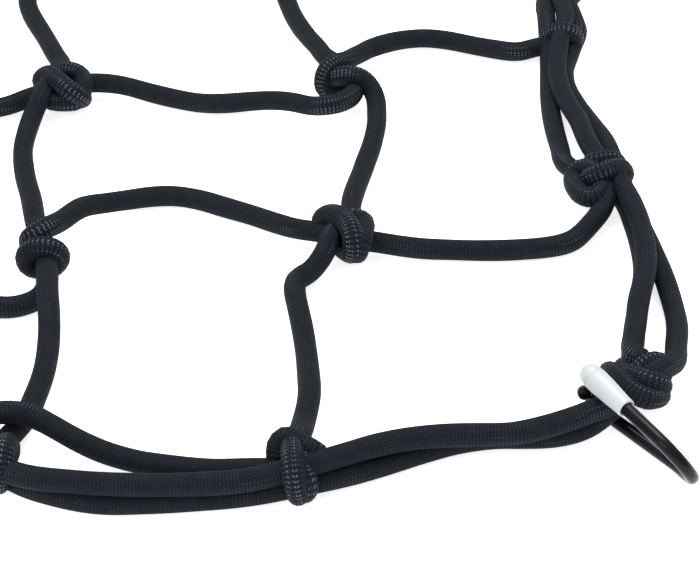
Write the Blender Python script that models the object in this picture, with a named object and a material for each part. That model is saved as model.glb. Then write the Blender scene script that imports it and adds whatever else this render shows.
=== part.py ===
"""Elastic cargo net: knotted cells, a border of three cords and a coated hook at each corner.

Everything is laid out in millimetres as the net lies loose on a flat surface, +X to the right,
+Y away from the maker, +Z up, and is turned into metres where the meshes are made.
"""
import math
from collections import namedtuple

import bmesh
import bpy
import numpy as np
from mathutils import Matrix, Vector

# ---- driving sizes, in millimetres -------------------------------------------------------
MM = 0.001
CELLS = 5                     # cells along each side
CORD_R = 2.5                  # elastic cord, 5 mm over its braid
CORD_SIDES = 1                # bevel resolution of a cord: six sides
CELL_CORD = 80.0              # cord used along one side of a cell
GAP = 0.35                    # clearance kept between two pieces
KNOT_GAP = 0.9                # clearance of a cord's end from the knot it comes out of
WIDEST_BOW = 11.0             # widest bow a cord takes up by itself
REST_Z = 3.0                  # cord axis where it lies on the surface
KNOT_Z = 6.0                  # cord axis where it leaves a knot
DROOP = 20.0                  # run over which it comes down to the surface
OVER_Z = 9.0                  # the same where the cord goes over a loose cord of the border
OVER_DROOP = 42.0
OVER_KNOT = 3                 # border knot, counted from the corner, beside that loose cord
CORD_SECTION = 20.0           # longest straight section of a cord
HOOK_RUN = 25.0               # last run of the border beside the hook, in shorter sections

INNER_KNOT = (7.0, 7.0, 10.5)         # half length, half width, height
BORDER_KNOT = (6.5, 8.5, 12.0)
CORNER_KNOT = (7.4, 7.4, 12.5)
CORNER_KNOT_SHIFT = (2.0, 0.5)        # knot's middle from the crossing of the two border lines

WIRE_R = 1.5                  # plastic coated hook wire
HOOK_HALF_WIDTH = 7.5         # from the hook's middle line to the axis of either run
HOOK_TURN_AT = 23.2           # start of the big turn, from the cap's wide end
HOOK_EYE_AT = 4.0             # middle of the eye's turn, from the cap's wide end
HOOK_EYE_R = 6.5
HOOK_EYE_ASIDE = 3.6          # how far the wire's end stands beside the cap
HOOK_TOP = 14.4               # height of the upper run
HOOK_HEADING = -58.3          # degrees from +X, at the front right corner
HOOK_FOOT = (6.6, 4.05)       # lower run from the upper run, measured on the surface
HOOK_START = (-12.45, -10.1)  # cap's wide end from the corner, on the surface
CAP_LENGTH, CAP_WIDE_R, CAP_NARROW_R, CAP_ROUND = 13.0, 2.7, 2.05, 2.0

# Knots of one side of the border, from corner to corner, for the right-hand side of the net.
# The other sides are the same side turned by quarter turns.
BorderKnot = namedtuple("BorderKnot", "x y lump_along lump_aside")
SIDE = [
    BorderKnot(176.0, -166.0, 0.0, 0.0),
    BorderKnot(175.0, -90.0, -3.0, 0.0),
    BorderKnot(171.0, -25.0, -3.0, 0.0),
    BorderKnot(189.0, 35.0, 0.0, -3.0),
    BorderKnot(193.0, 100.0, 0.0, -3.0),
    BorderKnot(166.0, 176.0, 0.0, 0.0),
]

# One cord of the border between two knots: where it runs at a share of the way, as
# (distance inwards from the straight line, height of its axis).
Station = namedtuple("Station", "share aside height")
Strand = namedtuple("Strand", "cord span stations")


def strand(cord, span, *stations):
    """One row of the border table."""
    return Strand(cord, span, [Station(*values) for values in stations])


BORDER = [
    strand("outer", 0, (.10, -9.0, 5.6), (.25, -11.8, 3.0), (.50, -11.0, 5.4), (.75, -9.2, 5.2), (.93, -8.3, 5.0)),
    strand("inner", 0, (.10, -1.5, 3.4), (.25, -1.8, 2.9), (.50, -6.3, 2.9), (.75, -5.0, 2.9), (.93, -4.7, 3.0)),
    strand("upper", 0, (.10, -1.5, 8.7), (.25, -1.8, 8.2), (.50, -6.0, 8.2), (.75, -5.3, 8.2), (.93, -5.0, 8.2)),
    strand("outer", 1, (.08, -4.4, 3.2), (.25, -4.0, 2.9), (.50, -0.6, 2.9), (.75, 1.9, 2.9), (.93, 0.6, 3.0)),
    strand("inner", 1, (.08, 6.5, 3.2), (.25, 7.2, 2.9), (.50, 7.8, 2.9), (.75, 7.2, 2.9), (.93, 6.0, 3.0)),
    strand("upper", 1, (.08, 0.6, 7.0), (.25, 0.4, 6.4), (.50, 3.6, 6.2), (.75, 4.5, 7.5), (.93, 3.3, 7.6)),
    strand("outer", 2, (.08, -1.2, 3.0), (.25, 1.5, 2.9), (.50, -0.2, 2.9), (.75, -5.0, 2.9), (.93, -6.5, 3.0)),
    strand("inner", 2, (.08, 4.6, 3.0), (.25, 9.5, 2.9), (.50, 9.3, 2.9), (.75, 5.3, 2.9), (.93, 3.2, 3.0)),
    strand("upper", 2, (.08, 1.6, 7.8), (.25, 5.2, 6.6), (.50, 4.0, 6.2), (.75, -1.6, 6.8), (.93, -3.5, 7.8)),
    strand("outer", 3, (.08, -6.5, 3.0), (.25, -11.0, 2.9), (.50, -11.5, 2.9), (.75, -9.5, 2.9), (.93, -6.9, 3.0)),
    strand("inner", 3, (.08, 11.0, 3.2), (.25, 5.5, 2.9), (.50, -2.0, 2.9), (.75, -3.0, 2.9), (.93, -1.5, 3.0)),
    strand("upper", 3, (.08, -7.5, 8.0), (.25, -12.7, 8.0), (.50, -13.2, 8.1), (.75, -12.0, 8.1), (.93, -5.5, 8.0)),
    strand("outer", 4, (.08, -5.2, 2.9), (.25, -5.0, 2.9), (.50, -7.9, 6.1), (.75, -11.0, 4.4),
           (.87, -13.4, 6.2), (.94, -11.0, 6.3)),
    strand("inner", 4, (.08, 0.2, 2.9), (.25, 0.6, 2.9), (.50, -4.1, 2.8), (.75, -5.6, 4.2),
           (.87, -8.7, 6.2), (.94, -6.2, 6.3)),
    strand("upper", 4, (.08, -4.2, 8.0), (.25, -6.0, 8.2), (.50, -11.7, 9.7), (.75, -11.8, 8.9),
           (.87, -11.2, 9.9), (.94, -8.6, 9.8)),
]

# Knots inside the net whose place is known; the others fall on the lines between the borders.
PLACED = {(4, 1): (109.0, -117.0), (3, 1): (36.0, -122.0), (4, 2): (108.0, -49.0), (3, 2): (33.0, -51.0)}

# Bow of a cord to the left of the straight line between its knots, a quarter, half and three
# quarters of the way. Cords without a row take up their slack in an even curve.
Bow = namedtuple("Bow", "line across along quarter half three_quarter")
BOWS = [
    Bow("row", 1, 2, -2.0, -11.0, -19.0),
    Bow("row", 1, 3, 22.0, 22.0, 12.0),
    Bow("row", 1, 4, -8.0, -15.0, -18.0),
    Bow("row", 2, 2, -4.0, -8.0, -10.0),
    Bow("row", 2, 3, 3.0, -5.0, -6.0),
    Bow("row", 2, 4, 17.0, 15.0, 4.0),
    Bow("column", 3, 0, -5.0, -6.0, -3.0),
    Bow("column", 3, 1, 4.0, 8.0, 8.0),
    Bow("column", 3, 2, 6.0, 12.0, 10.0),
    Bow("column", 4, 0, 0.0, 4.0, 9.0),
    Bow("column", 4, 1, -4.0, -7.0, -10.0),
    Bow("column", 4, 2, 4.0, 6.0, 3.0),
]

CORD_BLACK = (0.022, 0.025, 0.031, 1.0)
COAT_BLACK = (0.012, 0.012, 0.014, 1.0)
CAP_WHITE = (0.80, 0.80, 0.78, 1.0)


# ---- where things are --------------------------------------------------------------------
def turned(point, quarter_turns):
    """A point turned about the net's middle."""
    angle = math.radians(90.0 * quarter_turns)
    return np.array([point[0] * math.cos(angle) - point[1] * math.sin(angle),
                     point[0] * math.sin(angle) + point[1] * math.cos(angle)])


def border_knot(side, index):
    """Crossing of the border line at a knot. Sides run anticlockwise: 0 front, 1 right, 2 back, 3 left."""
    return turned((SIDE[index].x, SIDE[index].y), side - 1)


def border_lump(side, index):
    """Middle of a border knot on the surface, and the heading of the border there."""
    along = border_knot(side, min(index + 1, CELLS)) - border_knot(side, max(index - 1, 0))
    heading = math.atan2(along[1], along[0])
    along /= np.linalg.norm(along)
    inwards = np.array([-along[1], along[0]])
    place = border_knot(side, index) + SIDE[index].lump_along * along + SIDE[index].lump_aside * inwards
    return place, heading


def corner_lump(side):
    """Middle of the knot at the corner where a side ends."""
    return border_knot(side, CELLS) + turned(CORNER_KNOT_SHIFT, side)


def net_knot(i, j):
    """Middle of any knot that a row or column cord meets: i across, j away."""
    if j == 0:
        return border_lump(0, i)[0]
    if i == CELLS:
        return border_lump(1, j)[0]
    if j == CELLS:
        return border_lump(2, CELLS - i)[0]
    if i == 0:
        return border_lump(3, CELLS - j)[0]
    if (i, j) in PLACED:
        return np.array(PLACED[(i, j)])
    near, far = border_knot(0, i), border_knot(2, CELLS - i)
    left, right = border_knot(3, CELLS - j), border_knot(1, j)
    x = near[0] + (far[0] - near[0]) * j / CELLS + 3.5 * math.sin(2.1 * i + 3.3 * j)
    y = left[1] + (right[1] - left[1]) * i / CELLS + 3.5 * math.sin(1.3 * i + 4.1 * j + 1.0)
    return np.array([x, y])


def knot_shape(i, j):
    """Half length, half width and heading of the knot that a row or column cord meets."""
    if j == 0:
        return BORDER_KNOT[0], BORDER_KNOT[1], border_lump(0, i)[1]
    if i == CELLS:
        return BORDER_KNOT[0], BORDER_KNOT[1], border_lump(1, j)[1]
    if j == CELLS:
        return BORDER_KNOT[0], BORDER_KNOT[1], border_lump(2, CELLS - i)[1]
    if i == 0:
        return BORDER_KNOT[0], BORDER_KNOT[1], border_lump(3, CELLS - j)[1]
    return INNER_KNOT[0], INNER_KNOT[1], 0.0


def bows_of(line, across, along, chord):
    """The three side distances of a cord between two knots."""
    for bow in BOWS:
        if (bow.line, bow.across, bow.along) == (line, across, along):
            return bow.quarter, bow.half, bow.three_quarter
    slack = max(CELL_CORD - chord, 1.0)
    depth = min(math.sqrt(3.0 * chord * slack / 8.0), WIDEST_BOW)
    turn = 1.9 * across + 2.7 * along + (0.0 if line == "row" else 1.3)
    depth *= 1.0 if math.sin(turn) > 0.0 else -1.0
    lean = 0.1 * math.sin(2.3 * turn)
    return depth * (0.55 + lean), depth, depth * (0.55 - lean)


# ---- paths ---------------------------------------------------------------------------------
def smooth(points, count):
    """Points of a smooth curve through the given points, evenly spread over each step."""
    points = np.array(points, float)
    slopes = np.empty_like(points)
    slopes[1:-1] = (points[2:] - points[:-2]) / 2.0
    slopes[0] = 2.0 * (points[1] - points[0]) - slopes[1]
    slopes[-1] = 2.0 * (points[-1] - points[-2]) - slopes[-2]
    out = []
    for k in range(len(points) - 1):
        for t in np.linspace(0.0, 1.0, count, endpoint=False):
            out.append((2 * t ** 3 - 3 * t ** 2 + 1) * points[k] + (t ** 3 - 2 * t ** 2 + t) * slopes[k]
                       + (3 * t ** 2 - 2 * t ** 3) * points[k + 1] + (t ** 3 - t ** 2) * slopes[k + 1])
    out.append(points[-1])
    return np.array(out)


def evenly(path, longest):
    """The same path with its points at equal steps no longer than asked."""
    steps = np.linalg.norm(np.diff(path, axis=0), axis=1)
    run = np.concatenate([[0.0], np.cumsum(steps)])
    count = max(2, math.ceil(run[-1] / longest) + 1)
    stops = np.linspace(0.0, run[-1], count)
    return np.stack([np.interp(stops, run, path[:, axis]) for axis in range(3)], axis=1)


def clear_of(path, middle, half_length, half_width, heading):
    """The part of a path whose full cord width stays outside a knot standing at the path's start."""
    cut = 0
    cos, sin = math.cos(-heading), math.sin(-heading)
    for k in range(len(path) - 1):
        step = path[k + 1][:2] - path[k][:2]
        aside = np.array([-step[1], step[0]]) / max(np.linalg.norm(step), 1e-9) * CORD_R
        for offset in (-1.0, 0.0, 1.0):
            away = path[k][:2] + offset * aside - middle
            along = away[0] * cos - away[1] * sin
            across = away[0] * sin + away[1] * cos
            if math.hypot(along / (half_length + KNOT_GAP), across / (half_width + KNOT_GAP)) < 1.0:
                cut = k + 1
                break
    return path[cut:]


def cell_cord(line, across, along):
    """Full path between two knot middles of a row or column cord, with its droop."""
    ends = [(along, across), (along + 1, across)] if line == "row" else [(across, along), (across, along + 1)]
    start, end = net_knot(*ends[0]), net_knot(*ends[1])
    way = end - start
    chord = float(np.linalg.norm(way))
    left = np.array([-way[1], way[0]]) / chord
    sides = (0.0,) + tuple(bows_of(line, across, along, chord)) + (0.0,)
    flat = [start + way * k / 4.0 + left * sides[k] for k in range(5)]
    path = smooth([(x, y, 0.0) for x, y in flat], 12)
    run = np.concatenate([[0.0], np.cumsum(np.linalg.norm(np.diff(path, axis=0), axis=1))])
    near, far = (CELLS - OVER_KNOT, OVER_KNOT) if line == "row" else (OVER_KNOT, CELLS - OVER_KNOT)
    over = [along == 0 and across == near, along == CELLS - 1 and across == far]
    lift = [OVER_Z if high else KNOT_Z for high in over]
    droop = [OVER_DROOP if high else DROOP for high in over]
    path[:, 2] = (REST_Z + (lift[0] - REST_Z) * np.exp(-(run / droop[0]) ** 2)
                  + (lift[1] - REST_Z) * np.exp(-((run[-1] - run) / droop[1]) ** 2))
    return path, ends


def column_path(column, cell):
    """One column cord between two knots, ending just short of both."""
    path, ends = cell_cord("column", column, cell)
    path = clear_of(path, net_knot(*ends[0]), *knot_shape(*ends[0]))
    path = clear_of(path[::-1], net_knot(*ends[1]), *knot_shape(*ends[1]))
    return evenly(path[::-1], CORD_SECTION)


def row_path(row):
    """A whole row cord through its knots, ending just short of the two borders."""
    parts = []
    for cell in range(CELLS):
        path, ends = cell_cord("row", row, cell)
        if cell == 0:
            path = clear_of(path, net_knot(*ends[0]), *knot_shape(*ends[0]))
        if cell == CELLS - 1:
            path = clear_of(path[::-1], net_knot(*ends[1]), *knot_shape(*ends[1]))[::-1]
        path = evenly(path, CORD_SECTION)
        parts.append(path if cell == CELLS - 1 else path[:-1])
    return np.concatenate(parts)


def strand_path(side, cord):
    """One whole cord of a border side, ending just short of the two corner knots."""
    points = []
    for row in BORDER:
        if row.cord != cord:
            continue
        start, end = border_knot(side, row.span), border_knot(side, row.span + 1)
        way = end - start
        inwards = np.array([-way[1], way[0]]) / np.linalg.norm(way)
        for stop in row.stations:
            x, y = start + way * stop.share + inwards * stop.aside
            points.append((x, y, stop.height))
    path = smooth(points, 8)
    path = clear_of(path, corner_lump(side - 1), CORNER_KNOT[0], CORNER_KNOT[1], 0.0)
    path = clear_of(path[::-1], corner_lump(side), CORNER_KNOT[0], CORNER_KNOT[1], 0.0)[::-1]
    near_hook = np.linalg.norm(path[:, :2] - corner_lump(side), axis=1) < HOOK_RUN
    first = int(np.argmax(near_hook))
    return np.concatenate([evenly(path[:first + 1], CORD_SECTION), evenly(path[first:], CORD_SECTION / 3.0)[1:]])


def hook_frame():
    """Axes of the front right hook: along its length, up from lower to upper run, and its start."""
    heading = math.radians(HOOK_HEADING)
    length = np.array([math.cos(heading), math.sin(heading), 0.0])
    foot = np.array([HOOK_FOOT[0], HOOK_FOOT[1], WIRE_R - HOOK_TOP])
    foot -= length * foot.dot(length)
    up = -foot / np.linalg.norm(foot)
    aside = np.cross(length, up)
    corner = border_knot(0, CELLS)
    start = np.array([corner[0] + HOOK_START[0], corner[1] + HOOK_START[1], HOOK_TOP])
    return start, length, up, aside


def wire_path():
    """Axis of the hook's wire from the cap, round the big turn and back to the eye beside the cap."""
    start, length, up, aside = hook_frame()
    stops = [(CAP_LENGTH + GAP, 0.0, 0.0), (HOOK_TURN_AT - 5.0, 0.0, 0.0)]
    for degrees in range(90, -91, -20):
        turn = math.radians(degrees)
        stops.append((HOOK_TURN_AT + HOOK_HALF_WIDTH * math.cos(turn),
                      HOOK_HALF_WIDTH * (math.sin(turn) - 1.0), 0.0))
    low = -2.0 * HOOK_HALF_WIDTH
    stops.append((HOOK_EYE_AT + 10.0, low, 0.0))
    for step in range(6):
        turn = math.radians(270.0 - 24.0 * step)
        stops.append((HOOK_EYE_AT + HOOK_EYE_R * math.cos(turn), low + HOOK_EYE_R * (math.sin(turn) + 1.0),
                      HOOK_EYE_ASIDE * (step / 5.0) ** 2))
    return np.array([start + length * s + up * w + aside * n for s, w, n in stops])


# ---- making the pieces -------------------------------------------------------------------
def material(name, colour, roughness):
    """A plain Principled material."""
    made = bpy.data.materials.new(name)
    made.use_nodes = True
    shader = made.node_tree.nodes["Principled BSDF"]
    shader.inputs["Base Color"].default_value = colour
    shader.inputs["Roughness"].default_value = roughness
    made.diffuse_color = colour
    return made


def collection(name, hidden=False):
    """A collection linked to the scene."""
    made = bpy.data.collections.new(name)
    bpy.context.scene.collection.children.link(made)
    made.hide_render = hidden
    return made


def put(mesh, name, home, finish=None):
    """An object of a mesh in a collection."""
    made = bpy.data.objects.new(name, mesh)
    home.objects.link(made)
    if finish is not None:
        mesh.materials.clear()
        mesh.materials.append(finish)
    return made


def tube(name, path, radius, resolution, home, finish=None):
    """A round cord or wire along a path, as a closed mesh."""
    curve = bpy.data.curves.new(name, "CURVE")
    curve.dimensions = "3D"
    curve.bevel_depth = radius * MM
    curve.bevel_resolution = resolution
    curve.use_fill_caps = True
    line = curve.splines.new("POLY")
    line.points.add(len(path) - 1)
    for point, place in zip(line.points, path):
        point.co = (*(value * MM for value in place), 1.0)
    drawn = bpy.data.objects.new(name + "_line", curve)
    home.objects.link(drawn)
    graph = bpy.context.evaluated_depsgraph_get()
    mesh = bpy.data.meshes.new_from_object(drawn.evaluated_get(graph))
    mesh.transform(drawn.matrix_world)
    bpy.data.objects.remove(drawn)
    shell = bmesh.new()
    shell.from_mesh(mesh)
    bmesh.ops.remove_doubles(shell, verts=shell.verts, dist=0.00001)
    bmesh.ops.recalc_face_normals(shell, faces=shell.faces)
    shell.to_mesh(mesh)
    shell.free()
    mesh.shade_smooth()
    return put(mesh, name, home, finish)


def bun(name, middle, heading, sizes, home, finish=None):
    """A knot as a low bun: flat underside, rounded shoulders. Its parts meet no sharp edge."""
    half_length, half_width, height = sizes
    shell = bmesh.new()
    bmesh.ops.create_cone(shell, cap_ends=True, segments=8, radius1=1.0, radius2=1.0, depth=1.0)
    bmesh.ops.scale(shell, vec=Vector((half_length * MM, half_width * MM, height * MM)), verts=shell.verts)
    top = [edge for edge in shell.edges if all(vert.co.z > 0.0 for vert in edge.verts)]
    bmesh.ops.bevel(shell, geom=top, offset=height * 0.30 * MM, segments=1, affect="EDGES")
    low = min(vert.co.z for vert in shell.verts)
    foot = [edge for edge in shell.edges if all(vert.co.z < low + 0.00001 for vert in edge.verts)]
    bmesh.ops.bevel(shell, geom=foot, offset=height * 0.15 * MM, segments=1, affect="EDGES")
    place = Matrix.Translation((middle[0] * MM, middle[1] * MM, height * 0.5 * MM))
    bmesh.ops.transform(shell, matrix=place @ Matrix.Rotation(heading, 4, "Z"), verts=shell.verts)
    mesh = bpy.data.meshes.new(name)
    shell.to_mesh(mesh)
    shell.free()
    mesh.shade_smooth()
    return put(mesh, name, home, finish)


def joined(base, others, cutters):
    """One closed body from touching ones; the others become hidden construction pieces."""
    for other in others:
        step = base.modifiers.new("join", "BOOLEAN")
        step.operation = "UNION"
        step.solver = "EXACT"
        step.object = other
        for home in list(other.users_collection):
            home.objects.unlink(other)
        cutters.objects.link(other)
        other.hide_render = True
        other.display_type = "WIRE"
    return base


def border(side, name, net, cutters, finish):
    """A side of the border: three cords held by the knots of the cords that end there."""
    cords = [tube(name if k == 0 else f"{name}_cord_{k + 1}", strand_path(side, cord), CORD_R, CORD_SIDES, net, finish)
             for k, cord in enumerate(("outer", "inner", "upper"))]
    knots = []
    for index in range(1, CELLS):
        middle, heading = border_lump(side, index)
        knots.append(bun(f"{name}_knot_{index}", middle, heading, BORDER_KNOT, net, finish))
    return joined(cords[0], cords[1:] + knots, cutters)


def row(number, net, cutters, finish):
    """A row cord with the knots it ties round the columns."""
    name = f"row_{number}"
    cord = tube(name, row_path(number), CORD_R, CORD_SIDES, net, finish)
    knots = [bun(f"{name}_knot_{i}", net_knot(i, number), 0.0, INNER_KNOT, net, finish) for i in range(1, CELLS)]
    return joined(cord, knots, cutters)


def hook_cap(side, net, finish):
    """The tapered white cap over the start of the hook's wire."""
    start, length, up, aside = hook_frame()
    shell = bmesh.new()
    bmesh.ops.create_cone(shell, cap_ends=True, segments=12, radius1=CAP_WIDE_R * MM, radius2=CAP_NARROW_R * MM,
                          depth=CAP_LENGTH * MM)
    wide = [edge for edge in shell.edges if all(vert.co.z < 0.0 for vert in edge.verts)]
    bmesh.ops.bevel(shell, geom=wide, offset=1.2 * MM, segments=2, affect="EDGES", profile=0.5)
    axes = Matrix((tuple(up), tuple(np.cross(length, up)), tuple(length))).transposed().to_4x4()
    middle = start + length * CAP_LENGTH * 0.5
    turn = Matrix.Rotation(math.radians(90.0 * side), 4, "Z")
    bmesh.ops.transform(shell, matrix=turn @ Matrix.Translation(tuple(middle * MM)) @ axes, verts=shell.verts)
    bmesh.ops.recalc_face_normals(shell, faces=shell.faces)
    mesh = bpy.data.meshes.new("cap")
    shell.to_mesh(mesh)
    shell.free()
    mesh.shade_smooth()
    return put(mesh, f"hook_cap_{side + 1}", net, finish)


def hook_wire(side, net, finish):
    """The bent wire of one hook."""
    path = np.array([(*turned(point[:2], side), point[2]) for point in wire_path()])
    return tube(f"hook_wire_{side + 1}", path, WIRE_R, 2, net, finish)


def build():
    """The whole net."""
    for old in list(bpy.data.objects):
        bpy.data.objects.remove(old, do_unlink=True)
    net = collection("cargo_net")
    cutters = collection("cutters", hidden=True)
    for side, name in enumerate(("border_front", "border_right", "border_back", "border_left")):
        border(side, name, net, cutters, material(name, CORD_BLACK, 0.75))
        bun(f"corner_knot_{side + 1}", corner_lump(side), 0.0, CORNER_KNOT, net,
            material(f"corner_knot_{side + 1}", CORD_BLACK, 0.75))
        hook_wire(side, net, material(f"hook_wire_{side + 1}", COAT_BLACK, 0.25))
        hook_cap(side, net, material(f"hook_cap_{side + 1}", CAP_WHITE, 0.4))
    for number in range(1, CELLS):
        row(number, net, cutters, material(f"row_{number}", CORD_BLACK, 0.75))
        for cell in range(CELLS):
            name = f"column_{number}_part_{cell + 1}"
            tube(name, column_path(number, cell), CORD_R, CORD_SIDES, net, material(name, CORD_BLACK, 0.75))


build()
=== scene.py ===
"""Looks of an elastic cargo net that lies loose on a pale floor.

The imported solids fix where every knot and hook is. The cords here are drawn again as braided
elastic, with the turns of each knot, and the hooks as dipped wire with a moulded cap.
Sizes are in millimetres until a mesh is made.
"""
import logging
import math
from dataclasses import dataclass, field
from enum import Enum
from typing import Iterable, Optional, Sequence

import bpy
import numpy as np
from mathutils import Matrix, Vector


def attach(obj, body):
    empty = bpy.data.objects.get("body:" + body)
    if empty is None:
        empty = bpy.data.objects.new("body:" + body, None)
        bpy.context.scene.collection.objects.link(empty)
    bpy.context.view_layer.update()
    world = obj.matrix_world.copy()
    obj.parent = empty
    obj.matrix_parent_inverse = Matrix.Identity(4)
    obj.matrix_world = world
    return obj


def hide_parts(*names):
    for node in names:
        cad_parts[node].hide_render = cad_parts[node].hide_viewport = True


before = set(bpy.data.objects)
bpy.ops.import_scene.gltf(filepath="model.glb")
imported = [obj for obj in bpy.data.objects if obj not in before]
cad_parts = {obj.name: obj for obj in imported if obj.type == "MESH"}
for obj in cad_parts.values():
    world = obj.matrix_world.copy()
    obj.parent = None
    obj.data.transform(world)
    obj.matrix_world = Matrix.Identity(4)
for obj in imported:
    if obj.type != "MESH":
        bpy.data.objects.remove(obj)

LOG = logging.getLogger("cargo_net")
Point = tuple[float, float, float]
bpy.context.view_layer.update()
MM = 0.001            # metres in a millimetre
CELLS = 5             # cells along a side
CORD_R = 2.58         # cord of the border
MESH_CORD_R = 2.64    # cord of the mesh
REST_Z = 2.70         # height of a cord's axis where it lies on the floor
DROOP = 16.0          # run over which a cord comes down from a knot
CELL_CORD = 80.0      # cord used along one side of a cell
WIDEST_BOW = 11.0     # widest bow that a cord takes up by itself
GLINT_BEND_R = 8.0       # bend radius at which the painted highlight on the outside of a bend is full
KNOT_REACH = 13.0     # how far a reused knot's points reach from its middle


# ---- choices -------------------------------------------------------------------------------
class Line(Enum):
    """Which way a cord of the mesh runs."""
    ROW = "row"
    COLUMN = "column"


class Cord(Enum):
    """The three cords of the border."""
    OUTER = "outer"
    INNER = "inner"
    UPPER = "upper"


class Side(Enum):
    """Sides of the border, anticlockwise."""
    FRONT = 0
    RIGHT = 1
    BACK = 2
    LEFT = 3


# ---- tables --------------------------------------------------------------------------------
@dataclass(frozen=True)
class BorderKnot:
    """Where the border line meets a knot, for the right-hand side, and the knot's middle from there."""
    x: float
    y: float
    lump_along: float
    lump_aside: float


@dataclass(frozen=True)
class Station:
    """A border cord's place at a share of the way between two knots."""
    share: float
    aside: float
    height: float


@dataclass(frozen=True)
class Lie:
    """How a mesh cord lies between two knots: pairs of share and side distance, left positive."""
    line: Line
    across: int
    along: int
    stops: tuple[tuple[float, float], ...]


@dataclass(frozen=True)
class Knot:
    """How a knot is tied, as points across, away and up from its middle.

    The row and the column pass through along their points, and each turn is a closed loop.
    """
    row: tuple[Point, ...] = ()
    column: tuple[Point, ...] = ()
    turns: tuple[tuple[Point, ...], ...] = ()


SIDE_KNOTS = (
    BorderKnot(176.0, -166.0, 0.0, 0.0),
    BorderKnot(175.0, -90.0, -3.0, 0.0),
    BorderKnot(171.0, -25.0, -3.0, 0.0),
    BorderKnot(189.0, 35.0, 0.0, -3.0),
    BorderKnot(193.0, 100.0, 0.0, -3.0),
    BorderKnot(166.0, 176.0, 0.0, 0.0),
)


def stations(*rows: Point) -> tuple[Station, ...]:
    """Stations from rows of share, aside and height."""
    return tuple(Station(*row) for row in rows)


# For each cord, a row for each stretch between two knots, from a side's start.
BORDER: dict[Cord, tuple[tuple[Station, ...], ...]] = {
    Cord.OUTER: (
        stations((.11, -9.7, 5.5), (.23, -11.4, 4.5), (.38, -11.7, 3.0), (.50, -11.0, 3.0),
                 (.63, -9.3, 3.4), (.76, -7.4, 4.0), (.90, -5.4, 5.0)),
        stations((.08, -4.0, 5.4), (.23, -3.3, 4.6), (.37, -1.6, 3.2), (.53, 0.9, 2.6), (.66, 2.4, 2.6),
                 (.78, 1.9, 2.6), (.88, -0.2, 2.8), (.97, -2.6, 4.2)),
        stations((.03, -3.6, 5.0), (.10, -2.2, 5.0), (.20, 0.5, 4.8), (.31, 3.0, 3.6), (.45, 2.0, 2.6),
                 (.60, -2.0, 2.6), (.75, -5.4, 2.6), (.93, -6.5, 3.0)),
        stations((.05, -7.2, 3.0), (.11, -9.2, 2.6), (.19, -11.0, 2.6), (.28, -12.4, 2.6),
                 (.38, -13.1, 2.6), (.53, -12.3, 2.6), (.69, -10.8, 2.6), (.85, -9.0, 3.0)),
        stations((.10, -6.2, 3.4), (.19, -5.6, 2.8), (.27, -5.0, 2.6), (.34, -4.5, 2.6), (.41, -4.6, 3.0),
                 (.48, -5.5, 3.5), (.54, -6.9, 4.0), (.61, -9.0, 4.0), (.69, -10.9, 4.0), (.78, -11.2, 4.6)),
    ),
    Cord.INNER: (
        stations((.05, 0.7, 5.5), (.14, -0.3, 4.6), (.26, -2.0, 3.0), (.38, -4.1, 2.6), (.51, -6.4, 2.6),
                 (.63, -6.9, 2.6), (.77, -6.2, 3.0), (.90, -4.0, 4.0)),
        stations((.08, 8.2, 4.5), (.22, 8.4, 3.2), (.36, 8.5, 2.6), (.49, 8.3, 2.6), (.61, 7.6, 2.6),
                 (.76, 6.4, 2.7), (.90, 5.2, 3.4)),
        stations((.02, 5.3, 5.6), (.15, 7.3, 5.0), (.28, 9.5, 3.4), (.45, 9.4, 2.6), (.60, 6.5, 2.6),
                 (.78, 6.0, 4.0), (.93, 7.2, 7.4)),
        stations((.02, 7.9, 8.0), (.08, 7.4, 8.0), (.15, 5.7, 7.0), (.24, 3.1, 5.5), (.33, 1.2, 4.0),
                 (.42, 0.0, 3.0), (.52, -1.1, 2.6), (.67, -2.0, 2.6), (.84, -1.6, 3.0)),
        stations((.08, -2.6, 3.0), (.18, -2.2, 2.8), (.30, -2.2, 2.6), (.42, -2.9, 2.6), (.55, -5.7, 2.6),
                 (.69, -8.5, 3.5), (.80, -9.2, 5.2)),
    ),
    Cord.UPPER: (
        stations((.05, 0.9, 7.6), (.19, -1.1, 7.6), (.31, -2.9, 7.6), (.43, -5.5, 7.6), (.55, -6.8, 7.8),
                 (.71, -6.6, 8.0), (.90, -3.8, 8.0)),
        stations((.08, 1.2, 8.2), (.20, 2.4, 8.0), (.32, 2.8, 7.4), (.44, 4.2, 6.8), (.60, 5.2, 6.6),
                 (.77, 4.3, 6.8), (.90, 2.4, 7.6)),
        stations((.08, 1.0, 8.0), (.20, 3.6, 7.4), (.31, 6.0, 6.6), (.45, 5.4, 6.2), (.60, 1.5, 6.4),
                 (.75, -2.5, 6.6), (.93, -5.5, 7.6)),
        stations((.10, -10.8, 7.6), (.29, -12.1, 7.6), (.48, -12.2, 7.6), (.69, -11.1, 7.6),
                 (.85, -9.4, 7.8)),
        stations((.10, -4.6, 8.0), (.20, -4.2, 8.0), (.30, -5.0, 8.2), (.39, -7.5, 9.0), (.47, -10.0, 9.4),
                 (.55, -12.1, 9.5), (.66, -12.5, 9.5), (.80, -11.3, 9.5)),
    ),
}

PLACED: dict[tuple[int, int], tuple[float, float]] = {
    (4, 1): (109.0, -117.0), (3, 1): (36.0, -122.0), (4, 2): (108.0, -49.0), (3, 2): (33.0, -51.0),
}

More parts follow.
